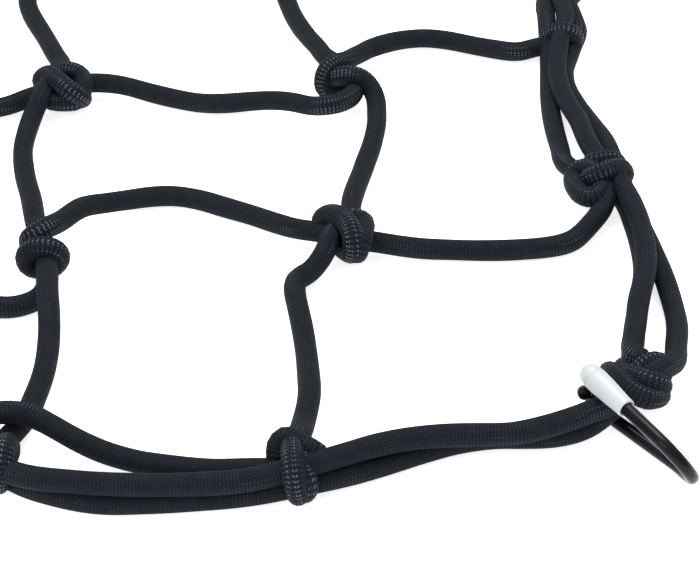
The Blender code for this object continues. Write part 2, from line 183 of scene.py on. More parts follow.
LIES = (
    Lie(Line.ROW, 1, 2, ((.25, -4.0), (.50, -10.8), (.72, -17.0), (.85, -20.0))),
    Lie(Line.ROW, 1, 3, ((.13, 15.3), (.20, 18.8), (.28, 21.7), (.36, 23.5), (.44, 23.7), (.53, 21.6),
                         (.61, 18.2), (.70, 14.1), (.78, 9.6), (.85, 6.2))),
    Lie(Line.ROW, 1, 4, ((.18, -5.2), (.26, -8.0), (.35, -10.2), (.43, -12.3), (.51, -14.3), (.59, -16.1),
                         (.68, -17.8), (.76, -18.0))),
    Lie(Line.ROW, 2, 2, ((.25, -3.0), (.50, -9.0), (.70, -12.5), (.81, -10.8))),
    Lie(Line.ROW, 2, 3, ((.16, 3.0), (.23, 2.1), (.32, -0.4), (.41, -2.8), (.50, -4.9), (.59, -5.6),
                         (.68, -5.8), (.77, -7.2), (.84, -9.5))),
    Lie(Line.ROW, 2, 4, ((.17, 13.0), (.24, 14.7), (.36, 16.7), (.47, 16.5), (.56, 13.6), (.64, 9.2),
                         (.72, 4.8), (.80, 1.3))),
    Lie(Line.COLUMN, 3, 0, ((.21, -4.1), (.29, -5.0), (.41, -6.1), (.53, -6.2), (.65, -5.4))),
    Lie(Line.COLUMN, 3, 1, ((.22, 3.0), (.33, 4.4), (.49, 7.0), (.64, 8.4), (.74, 8.0))),
    Lie(Line.COLUMN, 3, 2, ((.19, 1.4), (.36, 5.7), (.53, 10.4), (.62, 11.8), (.74, 9.8), (.86, 5.0))),
    Lie(Line.COLUMN, 4, 0, ((.30, 1.2), (.41, 2.5), (.52, 4.2), (.62, 6.1), (.71, 8.1), (.77, 9.4),
                            (.82, 9.5))),
    Lie(Line.COLUMN, 4, 1, ((.20, -2.4), (.26, -3.0), (.35, -4.1), (.43, -5.3), (.52, -6.6), (.59, -7.8),
                            (.67, -8.9), (.76, -9.8))),
    Lie(Line.COLUMN, 4, 2, ((.24, 2.2), (.33, 3.9), (.43, 5.2), (.52, 5.9), (.75, 6.2), (.88, 3.2))),
)

SLANT = Knot(
    row=((-7.1, 4.3, 4.5), (-3.0, 2.2, 5.5), (3.0, 0.5, 5.0), (8.0, 0.7, 4.0)),
    column=((-7.6, -10.3, 3.5), (-3.9, -5.2, 6.0), (-2.3, -0.3, 7.5), (0.2, 4.6, 6.5), (2.1, 9.8, 6.0)),
    turns=(((-4.7, 7.4, 4.0), (-4.7, 6.2, 7.0), (-2.6, 4.6, 9.5), (0.0, 1.6, 10.8), (1.9, -2.5, 11.0),
            (2.7, -5.4, 9.3), (2.6, -5.7, 6.0), (1.2, -1.7, 3.0), (-2.0, 2.8, 2.6)),
           ((2.4, 4.9, 8.0), (5.2, 4.2, 7.6), (5.2, -0.6, 8.0), (4.4, -5.1, 8.0), (3.7, -5.3, 5.5),
            (3.5, 0.5, 3.0), (3.5, 6.5, 2.8))))
COLLAR = Knot(
    row=((-6.3, -17.7, 2.7), (0.6, -14.6, 2.7), (2.3, -9.2, 2.6), (1.0, -2.4, 2.8), (-2.1, 2.7, 3.2),
         (-3.4, 3.2, 6.0), (-1.6, 1.1, 9.5), (1.2, 3.0, 10.4), (4.0, 8.0, 8.5)),
    column=((3.6, -17.0, 7.2), (2.9, -10.9, 7.2), (1.6, -3.4, 6.2), (-0.3, 3.8, 5.5), (-2.6, 11.0, 5.0)),
    turns=(((-3.3, -2.9, 6.0), (-1.6, -3.6, 9.0), (1.3, -4.0, 10.2), (4.0, -3.6, 9.0), (4.9, -2.9, 6.0),
            (3.2, -2.9, 3.3), (0.4, -3.0, 2.6), (-2.6, -2.9, 3.3)),))
BIGHT = Knot(
    row=((-7.8, -11.8, 6.0), (-3.9, -13.5, 7.2), (-0.9, -12.7, 7.2), (1.6, -10.9, 7.0), (3.5, -7.5, 6.3),
         (4.3, -1.4, 5.0), (3.0, 4.4, 4.0), (0.5, 3.7, 2.8), (-2.5, -0.3, 2.6), (-4.1, -1.2, 4.2),
         (-4.4, -0.8, 7.0), (-3.6, 0.5, 9.0), (-1.8, 2.2, 10.0), (1.5, 5.0, 9.0), (4.0, 10.4, 7.0),
         (7.1, 16.1, 5.0)),
    column=((10.1, -10.5, 3.6), (10.1, -7.6, 4.0), (9.3, -4.6, 5.5), (7.5, -2.8, 7.5), (5.0, -2.3, 9.0),
            (2.0, -1.9, 9.3), (-1.0, -0.6, 7.6), (-1.6, 3.6, 5.5), (-0.6, 8.7, 5.0), (-1.8, 11.2, 5.0),
            (-3.9, 13.8, 4.6)))
LUMP = Knot(
    row=((-7.9, -2.7, 4.0), (-4.3, -2.4, 5.0), (-0.1, -0.3, 5.0), (3.7, 2.0, 5.0), (7.9, 3.3, 4.5)),
    column=((-6.7, -12.5, 3.6), (-4.9, -7.6, 6.4), (-3.6, -3.8, 7.6), (-2.5, 2.1, 7.0), (-1.4, 8.8, 5.5),
            (-1.1, 12.7, 4.6)),
    turns=(((-5.5, 2.9, 6.0), (-3.0, 0.8, 8.8), (0.4, -4.3, 10.0), (3.3, -7.4, 9.5), (5.6, -7.0, 7.2),
            (5.8, -3.4, 4.0), (3.3, -1.4, 2.6), (-1.7, 3.2, 2.6), (-5.3, 4.5, 3.2)),
           ((-2.6, -4.8, 4.6), (1.6, -6.4, 5.0), (4.8, -5.6, 5.0), (5.9, -1.9, 5.5), (5.4, 2.4, 7.0),
            (2.4, 3.8, 8.0), (-0.4, 4.2, 7.0), (-2.5, 3.3, 5.0))))
INNER_KNOTS = {(4, 1): SLANT, (3, 1): COLLAR, (4, 2): BIGHT, (3, 2): LUMP}

# Border knots by their number along a side, across being along the side and away being inwards.
# A mesh cord ends inside its knot, along the column's points.
BORDER_KNOTS = {
    1: Knot(
        column=((-15.9, 4.3, 4.0), (-12.3, 1.6, 5.0), (-8.9, 0.2, 6.0), (-5.2, -0.2, 6.8), (-2.0, 0.4, 6.8)),
        turns=(((1.7, 7.1, 5.5), (-3.7, 7.3, 6.0), (-7.9, 5.7, 6.5), (-9.2, 3.1, 7.0), (-6.3, 1.1, 7.5),
                (-1.7, 1.3, 8.0), (1.3, 3.4, 8.0), (2.5, 5.9, 7.0)),
               ((-2.7, 3.4, 8.5), (-3.6, 1.2, 10.4), (-2.2, -1.4, 10.6), (0.3, -4.2, 9.0), (1.0, -5.5, 6.5),
                (3.3, -4.1, 3.5), (4.3, -0.7, 2.8), (1.2, 2.8, 4.5)),
               ((4.0, 2.3, 8.0), (3.7, -0.1, 9.0), (4.4, -2.6, 8.5), (5.7, -4.2, 6.0), (8.3, -3.1, 3.0),
                (8.3, 0.0, 3.0), (6.4, 2.3, 5.0)))),
    2: Knot(
        column=((-1.0, 8.5, 3.6), (0.0, 4.0, 4.0), (0.5, 1.0, 5.0)),
        turns=(((2.0, 4.5, 4.5), (1.0, 2.5, 7.6), (0.0, -0.5, 8.4), (0.5, -3.0, 6.0), (1.5, -2.0, 2.8),
                (2.0, 2.0, 2.6)),)),
    3: Knot(
        column=((1.8, 9.0, 2.7), (0.0, 5.0, 3.4), (-1.0, 2.0, 5.0)),
        turns=(((2.5, 1.6, 5.0), (2.7, 0.2, 8.6), (2.7, -3.5, 10.3), (2.4, -6.4, 8.8), (1.5, -7.4, 5.5),
                (1.0, -5.5, 2.6), (1.5, 0.0, 2.6)),
               ((-4.5, 3.0, 6.0), (-4.0, 0.0, 9.0), (-2.0, -4.0, 10.4), (-1.0, -6.6, 8.8), (-1.5, -7.2, 5.0),
                (-2.5, -4.0, 2.6), (-4.0, 1.5, 2.8)))),
    4: Knot(
        column=((0.3, 14.8, 5.0), (-0.4, 9.0, 7.0), (-1.0, 4.5, 8.0), (-0.6, 2.0, 7.5)),
        turns=(((-1.9, 2.9, 9.0), (-1.7, -1.7, 10.8), (-1.4, -5.2, 10.0), (-1.0, -6.9, 7.5),
                (-0.5, -6.5, 4.2), (-0.2, -3.4, 2.6), (-0.6, 0.6, 2.6), (-1.5, 5.1, 3.0), (-1.9, 5.3, 5.5)),
               ((0.9, -5.2, 3.8), (1.3, -5.4, 6.0), (0.2, -3.1, 7.7), (0.0, 0.6, 8.0), (0.6, 4.8, 5.0),
                (0.7, 3.0, 2.8), (0.5, -0.8, 2.6)),
               ((-5.1, 3.0, 6.0), (-4.9, 4.5, 8.2), (-3.1, 5.2, 9.6), (-0.6, 3.6, 9.5), (1.8, 2.2, 9.0),
                (3.6, 1.9, 7.5), (2.4, 3.0, 3.0), (-2.6, 3.1, 2.6), (-4.7, 3.1, 4.0)))),
}
CORNER = Knot(turns=(
    ((-8.3, 0.6, 5.0), (-7.0, -5.1, 8.4), (-4.8, -10.4, 9.5), (-2.0, -11.8, 8.7), (0.8, -9.8, 7.0),
     (2.2, -5.5, 4.0), (0.1, -2.2, 2.6), (-3.6, 0.8, 2.6)),
    ((-5.4, -1.8, 6.6), (-3.6, -5.6, 9.2), (-1.2, -8.2, 10.3), (1.4, -7.8, 9.0), (2.6, -5.0, 6.0),
     (2.3, 0.3, 3.0), (-0.9, 3.0, 2.6), (-4.0, 3.4, 4.0)),
    ((-3.2, -2.6, 5.8), (-1.8, -1.8, 8.0), (0.4, -0.6, 8.8), (2.8, 0.2, 8.0), (3.4, -1.0, 6.0),
     (0.4, -2.6, 5.0))))
# Where the border cords come into a corner knot, at a side's start and at its end.
CORNER_START = {Cord.OUTER: ((-0.5, -5.6, 9.2), (3.0, -2.6, 9.0), (6.6, 2.0, 7.0)),
                Cord.INNER: ((-1.0, 1.5, 5.5),),
                Cord.UPPER: ((-1.0, 1.5, 8.0),)}
CORNER_END = ((-6.0, -8.5, 5.5), (-2.0, -4.0, 6.0))


# ---- laying out ----------------------------------------------------------------------------
def turned(point: Sequence[float], quarter_turns: int) -> np.ndarray:
    """Turns a point about the net's middle.

    Args:
        point: x and y.
        quarter_turns: how many quarter turns anticlockwise.

    Returns:
        The turned x and y.
    """
    angle = math.radians(90.0 * quarter_turns)
    cos, sin = math.cos(angle), math.sin(angle)
    return np.array([point[0] * cos - point[1] * sin, point[0] * sin + point[1] * cos])


def smooth(points: Sequence[Sequence[float]], closed: bool = False) -> np.ndarray:
    """Draws a smooth curve through points that may be unevenly spaced.

    Args:
        points: the points to pass through.
        closed: whether the curve runs back to its start.

    Returns:
        The curve's points.
    """
    given = np.array(points, float)
    if closed:
        given = np.concatenate([given[-2:], given, given[:3]])
    knots = np.concatenate([[0.0], np.cumsum(np.sqrt(np.linalg.norm(np.diff(given, axis=0), axis=1)))])
    step = np.diff(knots)[:, None]
    rise = np.diff(given, axis=0) / step
    slopes = np.empty_like(given)
    slopes[1:-1] = (rise[:-1] * step[1:] + rise[1:] * step[:-1]) / (step[:-1] + step[1:])
    slopes[0], slopes[-1] = 2.0 * rise[0] - slopes[1], 2.0 * rise[-1] - slopes[-2]
    t = np.linspace(0.0, 1.0, 16, endpoint=False)[:, None]
    out = [(2 * t ** 3 - 3 * t ** 2 + 1) * given[k] + (t ** 3 - 2 * t ** 2 + t) * slopes[k] * step[k]
           + (3 * t ** 2 - 2 * t ** 3) * given[k + 1] + (t ** 3 - t ** 2) * slopes[k + 1] * step[k]
           for k in range(len(given) - 1)]
    if closed:
        return np.concatenate(out[2:-2] + [given[2:3]])
    return np.concatenate(out + [given[-1:]])


def run_of(path: np.ndarray) -> np.ndarray:
    """Distance along a path at each of its points."""
    return np.concatenate([[0.0], np.cumsum(np.linalg.norm(np.diff(path, axis=0), axis=1))])


def evenly(path: np.ndarray, longest: float) -> np.ndarray:
    """Spreads a path's points at equal steps.

    Args:
        path: the path's points.
        longest: the longest step allowed.

    Returns:
        The new points.
    """
    run = run_of(path)
    stops = np.linspace(0.0, run[-1], max(2, math.ceil(run[-1] / longest) + 1))
    return np.stack([np.interp(stops, run, path[:, axis]) for axis in range(3)], axis=1)


def relaxed(path: np.ndarray, rounds: int) -> np.ndarray:
    """Takes small corners out of an even path, its two ends held, and keeps it off the floor.

    Args:
        path: the path's points, evenly spaced.
        rounds: how many times the corners are eased.

    Returns:
        The eased points.
    """
    eased = path.copy()
    for _ in range(rounds):
        eased[1:-1] = 0.25 * eased[:-2] + 0.5 * eased[1:-1] + 0.25 * eased[2:]
    eased[:, 2] = np.maximum(eased[:, 2], REST_Z)
    return eased


@dataclass
class Plan:
    """Where every knot of the net is, and how the cords lie between them."""
    cells: int = CELLS
    corner_shift: tuple[float, float] = (2.0, 0.5)

    def border_knot(self, side: int, index: int) -> np.ndarray:
        """Where the border line of a side meets its knot of that number."""
        return turned((SIDE_KNOTS[index].x, SIDE_KNOTS[index].y), side - 1)

    def border_axes(self, side: int, index: int) -> tuple[np.ndarray, np.ndarray]:
        """Works out unit directions along the border and inwards at one of its knots.

        Args:
            side: number of the side.
            index: number of the knot along it.

        Returns:
            The two directions.
        """
        along = self.border_knot(side, min(index + 1, self.cells)) - self.border_knot(side, max(index - 1, 0))
        along = along / np.linalg.norm(along)
        return along, np.array([-along[1], along[0]])

    def border_lump(self, side: int, index: int) -> np.ndarray:
        """Works out the middle of a border knot.

        Args:
            side: number of the side.
            index: number of the knot along it.

        Returns:
            Its x and y.
        """
        along, inwards = self.border_axes(side, index)
        knot = SIDE_KNOTS[index]
        return self.border_knot(side, index) + knot.lump_along * along + knot.lump_aside * inwards

    def corner_lump(self, side: int) -> np.ndarray:
        """Middle of the knot at the corner where a side ends."""
        return self.border_knot(side, self.cells) + turned(self.corner_shift, side)

    def net_knot(self, i: int, j: int) -> np.ndarray:
        """Works out the middle of a knot of the mesh or the border.

        Args:
            i: how many columns across.
            j: how many rows away.

        Returns:
            Its x and y.
        """
        if j == 0:
            return self.border_lump(0, i)
        if i == self.cells:
            return self.border_lump(1, j)
        if j == self.cells:
            return self.border_lump(2, self.cells - i)
        if i == 0:
            return self.border_lump(3, self.cells - j)
        if (i, j) in PLACED:
            return np.array(PLACED[(i, j)])
        near, far = self.border_knot(0, i), self.border_knot(2, self.cells - i)
        left, right = self.border_knot(3, self.cells - j), self.border_knot(1, j)
        x = near[0] + (far[0] - near[0]) * j / self.cells + 3.5 * math.sin(2.1 * i + 3.3 * j)
        y = left[1] + (right[1] - left[1]) * i / self.cells + 3.5 * math.sin(1.3 * i + 4.1 * j + 1.0)
        return np.array([x, y])

    def inner(self, i: int, j: int) -> Knot:
        """How the knot inside the net at i, j is tied."""
        return INNER_KNOTS.get((i, j), (SLANT, COLLAR, LUMP, BIGHT)[(i + 2 * j) % 4])

    def stops(self, line: Line, across: int, along: int, chord: float) -> tuple[tuple[float, float], ...]:
        """Says how a mesh cord lies between two knots.

        Args:
            line: row or column.
            across: number of the cord.
            along: number of the cell along it.
            chord: straight distance between the knots.

        Returns:
            Pairs of share and side distance.
        """
        for lie in LIES:
            if (lie.line, lie.across, lie.along) == (line, across, along):
                return lie.stops
        slack = max(CELL_CORD - chord, 1.0)
        depth = min(math.sqrt(3.0 * chord * slack / 8.0), WIDEST_BOW)
        turn = 1.9 * across + 2.7 * along + (0.0 if line is Line.ROW else 1.3)
        depth *= 1.0 if math.sin(turn) > 0.0 else -1.0
        lean = 0.1 * math.sin(2.3 * turn)
        return (.28, depth * (0.62 + lean)), (.50, depth), (.72, depth * (0.62 - lean))

    def knot_points(self, line: Line, i: int, j: int) -> list[np.ndarray]:
        """Gives the points that a mesh cord passes in a knot, in the cord's own order.

        Args:
            line: row or column.
            i: how many columns across.
            j: how many rows away.

        Returns:
            The points.
        """
        middle = self.net_knot(i, j)
        if 0 < i < self.cells and 0 < j < self.cells:
            knot = self.inner(i, j)
            points = knot.row if line is Line.ROW else knot.column
            return [np.array([middle[0] + x, middle[1] + y, z]) for x, y, z in points
                    if (i, j) in INNER_KNOTS or math.hypot(x, y) < KNOT_REACH]
        side, index = ((0, i) if j == 0 else (1, j) if i == self.cells
                       else (2, self.cells - i) if j == self.cells else (3, self.cells - j))
        points = [np.array([*(middle + turned((x, y), side)), z]) for x, y, z in BORDER_KNOTS[index].column]
        return points[::-1] if i == 0 or j == 0 else points

    def mesh_cord(self, line: Line, number: int) -> np.ndarray:
        """Path of a whole row or column.

        Args:
            line: row or column.
            number: its number.

        Returns:
            Points of the cord's axis.
        """
        places = [(k, number) if line is Line.ROW else (number, k) for k in range(self.cells + 1)]
        points = self.knot_points(line, *places[0])
        for cell in range(self.cells):
            start, end = self.net_knot(*places[cell]), self.net_knot(*places[cell + 1])
            way = end - start
            chord = float(np.linalg.norm(way))
            left = np.array([-way[1], way[0]]) / chord
            ahead = self.knot_points(line, *places[cell + 1])
            near, far = points[-1], ahead[0]
            for share, side in self.stops(line, number, cell, chord):
                spot = start + way * share + left * side
                rise = sum((tip[2] - REST_Z) * math.exp(-(np.linalg.norm(spot - tip[:2]) / DROOP) ** 2)
                           for tip in (near, far))
                points.append(np.array([*spot, REST_Z + rise]))
            points += ahead
        return smooth(points)

    def strand(self, side: int, cord: Cord) -> np.ndarray:
        """Draws one cord of a border side from corner to corner.

        Args:
            side: number of the side.
            cord: which of the three cords.

        Returns:
            Points of the cord's axis.
        """
        first, last = self.corner_lump(side - 1), self.corner_lump(side)
        points = [(*(first + turned((x, y), side - 1)), z) for x, y, z in CORNER_START[cord]]
        for span in range(self.cells):
            start, end = self.border_knot(side, span), self.border_knot(side, span + 1)
            way = end - start
            inwards = np.array([-way[1], way[0]]) / np.linalg.norm(way)
            points += [(*(start + way * stop.share + inwards * stop.aside), stop.height)
                       for stop in BORDER[cord][span]]
        points += [(*(last + turned((x, y), side)), z) for x, y, z in CORNER_END]
        return smooth(points)


# ---- meshes --------------------------------------------------------------------------------
@dataclass
class CordMesh:
    """Gathers lengths of round cord into one mesh, with a map of turn and length for the braid."""
    sides: int = 16
    step: float = 1.2
    vertices: list[np.ndarray] = field(default_factory=list)
    faces: list[list[int]] = field(default_factory=list)
    turns: list[np.ndarray] = field(default_factory=list)
    bends: list[np.ndarray] = field(default_factory=list)
    count: int = 0

    def add(self, path: np.ndarray, radius: float, closed: bool = False, phase: float = 0.0) -> None:
        """Adds one length of cord.

        Args:
            path: points of its axis, millimetres.
            radius: its radius.
            closed: whether its end meets its start.
            phase: where its braid starts, millimetres.
        """
        path = evenly(path, self.step)
        if closed:
            path = path[:-1]
        count = len(path)
        ahead = np.roll(path, -1, axis=0) - np.roll(path, 1, axis=0)
        if not closed:
            ahead[0], ahead[-1] = path[1] - path[0], path[-1] - path[-2]
        ahead /= np.linalg.norm(ahead, axis=1)[:, None]
        normal = np.cross(ahead[0], (0.0, 0.0, 1.0))
        if np.linalg.norm(normal) < 0.1:
            normal = np.cross(ahead[0], (1.0, 0.0, 0.0))
        normals = np.empty_like(path)
        for k in range(count):
            normal = normal - ahead[k] * normal.dot(ahead[k])
            normal /= np.linalg.norm(normal)
            normals[k] = normal
        if closed:
            last = normal - ahead[0] * normal.dot(ahead[0])
            last /= np.linalg.norm(last)
            drift = math.atan2(np.cross(last, normals[0]).dot(ahead[0]), last.dot(normals[0]))
            angles = drift * np.arange(count) / count
            side = np.cross(ahead, normals)
            normals = normals * np.cos(angles)[:, None] + side * np.sin(angles)[:, None]
        side = np.cross(ahead, normals)
        around = np.linspace(0.0, 2.0 * math.pi, self.sides, endpoint=False)
        length = run_of(path)
        swell = radius * (1.0 + 0.012 * np.sin(length / 7.3 + phase)
                          + 0.010 * np.sin(length / 2.9 + 2.0 * phase))
        ring = (normals[:, None, :] * np.cos(around)[None, :, None] + side[:, None, :] * np.sin(around)[None,
                                                                                                        :,
                                                                                                        None])
        points = path[:, None, :] + ring * swell[:, None, None]
        curve = (np.roll(ahead, -1, axis=0) - np.roll(ahead, 1, axis=0)) / (2.0 * self.step)
        if not closed:
            curve[0] = curve[-1] = 0.0
        # How far each vertex lies on the outside of a bend; the sleeve uses it as the mask of its painted
        # highlight.
        bend_glint = np.clip(-GLINT_BEND_R * np.einsum("ka,kma->km", curve, ring), 0.0, 1.0)
        base = self.count
        self.vertices.append(points.reshape(-1, 3))
        self.bends.append(bend_glint.ravel())
        self.count += count * self.sides
        last_ring = count if closed else count - 1
        n = self.sides
        for k in range(last_ring):
            a, b = base + k * n, base + ((k + 1) % count) * n
            v0 = phase + length[k]
            v1 = phase + (length[k + 1] if k + 1 < count else length[k] + self.step)
            for m in range(n):
                m1 = (m + 1) % n
                self.faces.append([a + m, a + m1, b + m1, b + m])
                self.turns.append(np.array([[m / n, v0], [(m + 1) / n, v0], [(m + 1) / n, v1], [m / n, v1]]))
        if not closed:
            self.cap(base, points[0], path[0], -ahead[0], phase, True)
            self.cap(base + (count - 1) * n, points[-1], path[-1], ahead[-1], phase + length[-1], False)

    def cap(self, first: int, ring: np.ndarray, middle: np.ndarray, out: np.ndarray, at: float,
            reverse: bool) -> None:
        """Rounds off an open end with one smaller ring and a point.

        Args:
            first: number of the end ring's first vertex.
            ring: the end ring's vertices.
            middle: the ring's middle.
            out: the way out of the cord.
            at: length along the cord.
            reverse: whether the end is the cord's start.
        """
        n = self.sides
        radius = float(np.linalg.norm(ring[0] - middle))
        inner = middle + (ring - middle) * 0.6 + out * radius * 0.35
        self.vertices.append(np.concatenate([inner, [middle + out * radius * 0.45]]))
        self.bends.append(np.zeros(n + 1))
        base, tip = self.count, self.count + n
        self.count += n + 1
        for m in range(n):
            m1 = (m + 1) % n
            quad = [first + m, first + m1, base + m1, base + m]
            point = [base + m, base + m1, tip]
            self.faces.append(quad[::-1] if reverse else quad)
            self.faces.append(point[::-1] if reverse else point)
            self.turns.append(np.array([[m / n, at]] * 4))
            self.turns.append(np.array([[m / n, at]] * 3))

    def made(self, name: str, finish: bpy.types.Material) -> bpy.types.Object:
        """Makes the object from what was gathered.

        Args:
            name: the object's name.
            finish: its material.

        Returns:
            The linked object.
        """
        mesh = bpy.data.meshes.new(name)
        mesh.from_pydata((np.concatenate(self.vertices) * MM).tolist(), [], self.faces)
        layer = mesh.uv_layers.new(name="Braid")
        layer.uv.foreach_set("vector", np.concatenate(self.turns).astype(np.float32).ravel())
        bend_glint = mesh.attributes.new("BendGlint", "FLOAT", "POINT")
        bend_glint.data.foreach_set("value", np.concatenate(self.bends).astype(np.float32))
        mesh.materials.append(finish)
        mesh.shade_smooth()
        mesh.validate()
        mesh.update()
        return linked(name, mesh)


def tie(mesh: CordMesh, knot: Knot, middle: np.ndarray, side: int, radius: float, phase: float) -> None:
    """Adds the turns of a knot to a mesh.

    Args:
        mesh: the mesh that takes them.
        knot: how the knot is tied.
        middle: the knot's middle on the floor.
        side: quarter turns from the front side's axes.
        radius: the cord's radius.
        phase: where the braid starts.
    """
    for number, turn in enumerate(knot.turns):
        points = [(*(middle + turned((x, y), side)), z) for x, y, z in turn]
        loop = smooth(points, closed=True)
        loop[:, 2] = np.maximum(loop[:, 2], REST_Z)
        mesh.add(loop, radius, closed=True, phase=phase + 3.7 * number)


# ---- finishes ------------------------------------------------------------------------------
def linear(code: str) -> tuple[float, float, float, float]:
    """Turns an sRGB hex colour into the linear colour that a shader takes."""
    parts = [int(code[k:k + 2], 16) / 255.0 for k in (1, 3, 5)]
    return (*(p / 12.92 if p <= 0.04045 else ((p + 0.055) / 1.055) ** 2.4 for p in parts), 1.0)


def node(tree: bpy.types.NodeTree, kind: str, settings: Optional[dict] = None,
         inputs: Optional[dict] = None) -> bpy.types.Node:
    """Adds a node with its settings and links.

    Args:
        tree: the material's node tree.
        kind: the node's type, without ShaderNode.
        settings: attributes to set on the node.
        inputs: a value or an output socket for each named or numbered input.

    Returns:
        The new node.
    """
    made = tree.nodes.new("ShaderNode" + kind)
    for name, value in (settings or {}).items():
        setattr(made, name, value)
    for name, value in (inputs or {}).items():
        if isinstance(value, bpy.types.NodeSocket):
            tree.links.new(value, made.inputs[name])
        else:
            made.inputs[name].default_value = value
    return made


def maths(tree: bpy.types.NodeTree, operation: str,
          *values: float | bpy.types.NodeSocket) -> bpy.types.NodeSocket:
    """Adds a sum to a material.

    Args:
        tree: the material's node tree.
        operation: which sum it is.
        values: its numbers or sockets, in order.

    Returns:
        The sum's output socket.
    """
    return node(tree, "Math", {"operation": operation}, dict(enumerate(values))).outputs[0]


def linked(name: str, data: bpy.types.ID) -> bpy.types.Object:
    """Makes an object of its data in the scene.

    Args:
        name: the object's name.
        data: its mesh, light or camera.

    Returns:
        The object.
    """
    made = bpy.data.objects.new(name, data)
    bpy.context.scene.collection.objects.link(made)
    return made


def new_material(name: str) -> tuple[bpy.types.Material, bpy.types.NodeTree, bpy.types.Node]:
    """Starts a material.

    Args:
        name: the material's name.

    Returns:
        The material, its tree and its shader.
    """
    made = bpy.data.materials.new(name)
    made.use_nodes = True
    tree = made.node_tree
    return made, tree, tree.nodes["Principled BSDF"]


@dataclass(frozen=True)
class BraidedSleeve:
    """Matt polyester sleeve braided over a rubber core."""
    # dark is the base colour in the grooves, painted shade; light is the base colour on the rib crests,
    # painted light.
    dark: str = "#101318"
    light: str = "#2c333c"
    # The glint colour is a painted highlight on rib crests at the outside of tight bends.
    painted_glint: str = "#66717e"
    rows_round: float = 24.0
    rib_pitch_mm: float = 0.75
    slant: float = 0.35
    painted_glint_run_mm: float = 14.0
    rough: float = 0.78
    smooth: float = 0.45

    def make(self) -> bpy.types.Material:
        """Makes the material.

        Returns:
            The sleeve's material.
        """
        # Short slanting ribs lie in narrow lengthwise rows with grooves between, so the cord reads as woven
        # and matt.
        # The base colour is painted shade in the grooves and painted light on the rib crests, under a random
        # tone;
        # on the outside of tight bends the crests of a few chosen rows get a painted highlight in the glint
        # colour.
        made, tree, shader = new_material("braided_polyester_sleeve")
        place = node(tree, "UVMap", {"uv_map": "Braid"})
        parts = node(tree, "SeparateXYZ", inputs={0: place.outputs[0]})
        rows = maths(tree, "MULTIPLY", parts.outputs[0], self.rows_round)
        fold = maths(tree, "PINGPONG", rows, 1.0)
        slanted = maths(tree, "MULTIPLY", fold, self.slant)
        along = maths(tree, "DIVIDE", parts.outputs[1], self.rib_pitch_mm)
        phase = maths(tree, "ADD", along, slanted)
        wave = maths(tree, "PINGPONG", phase, 0.5)
        rib = maths(tree, "MULTIPLY", wave, 2.0)
        edge = maths(tree, "PINGPONG", fold, 0.5)
        ridge = node(tree, "MapRange", {"interpolation_type": "SMOOTHSTEP"},
                     {0: edge, 1: 0.0, 2: 0.30, 3: 0.25, 4: 1.0})
        height = maths(tree, "MULTIPLY", rib, ridge.outputs[0])
        space = node(tree, "TexCoord")
        uneven = node(tree, "TexNoise",
                      inputs={"Vector": space.outputs["Object"], "Scale": 420.0, "Detail": 3.0})
        # Painted shade and light: the colour follows the rib relief, dark in the grooves and light on the
        # crests, with a random tone over it.
        shade = maths(tree, "MULTIPLY", height, uneven.outputs[0])
        yarn = node(tree, "Mix", {"data_type": "RGBA"},
                    {0: shade, 6: linear(self.dark), 7: linear(self.light)})
        # Painted highlight: the glint colour goes into the base colour on rib crests of a few chosen rows
        # where a bend faces outwards; the same mask lowers the roughness.
        bend_glint = node(tree, "Attribute", {"attribute_name": "BendGlint"})
        row = maths(tree, "FLOOR", rows)
        reach = maths(tree, "DIVIDE", parts.outputs[1], self.painted_glint_run_mm)
        patch = node(tree, "CombineXYZ", inputs={0: row, 1: reach})
        lucky = node(tree, "TexNoise", inputs={"Vector": patch.outputs[0], "Scale": 0.83,
                                                         "Detail": 1.0})
        chosen = node(tree, "MapRange", {"interpolation_type": "SMOOTHSTEP"},
                      {0: lucky.outputs[0], 1: 0.48, 2: 0.58, 3: 0.06, 4: 1.0})
        crest = node(tree, "MapRange", {"interpolation_type": "SMOOTHSTEP"},
                     {0: height, 1: 0.45, 2: 0.90, 3: 0.0, 4: 0.75})
        bright = maths(tree, "MULTIPLY", crest.outputs[0], chosen.outputs[0])
        painted_glint = maths(tree, "MULTIPLY", bright, bend_glint.outputs["Fac"])
        colour = node(tree, "Mix", {"data_type": "RGBA"},
                      {0: painted_glint, 6: yarn.outputs[2], 7: linear(self.painted_glint)})
        tree.links.new(colour.outputs[2], shader.inputs["Base Color"])
        rough = node(tree, "MapRange", inputs={0: painted_glint, 1: 0.0, 2: 0.5, 3: self.rough,
                                                         4: self.smooth})
        tree.links.new(rough.outputs[0], shader.inputs["Roughness"])
        bump = node(tree, "Bump", inputs={"Strength": 0.5, "Distance": 0.0003, "Height": height})
        tree.links.new(bump.outputs[0], shader.inputs["Normal"])
        shader.inputs["Specular IOR Level"].default_value = 0.10
        return made


@dataclass(frozen=True)
class DippedCoating:
    """Soft black vinyl dipped over steel wire."""
    black: str = "#0b0e13"
    roughness: float = 0.22

    def make(self) -> bpy.types.Material:
        """Makes the material.

        Returns:
            The coating's material.
        """
        # The dip flows as it cures, so its sharp highlight wavers a little along the wire and
        # reads as soft plastic over steel.
        made, tree, shader = new_material("dipped_vinyl_coating")
        shader.inputs["Base Color"].default_value = linear(self.black)
        space = node(tree, "TexCoord")
        waves = node(tree, "TexNoise", inputs={"Vector": space.outputs["Object"], "Scale": 260.0,
                                                         "Detail": 2.0})
        gloss = node(tree, "MapRange", inputs={0: waves.outputs[0], 1: 0.3, 2: 0.7,
                                                         3: self.roughness - 0.05, 4: self.roughness + 0.1})
        tree.links.new(gloss.outputs[0], shader.inputs["Roughness"])
        bump = node(tree, "Bump", inputs={"Strength": 0.12, "Distance": 0.0003,
                                                    "Height": waves.outputs[0]})
        tree.links.new(bump.outputs[0], shader.inputs["Normal"])
        shader.inputs["IOR"].default_value = 1.53
        shader.inputs["Specular IOR Level"].default_value = 0.14
        return made


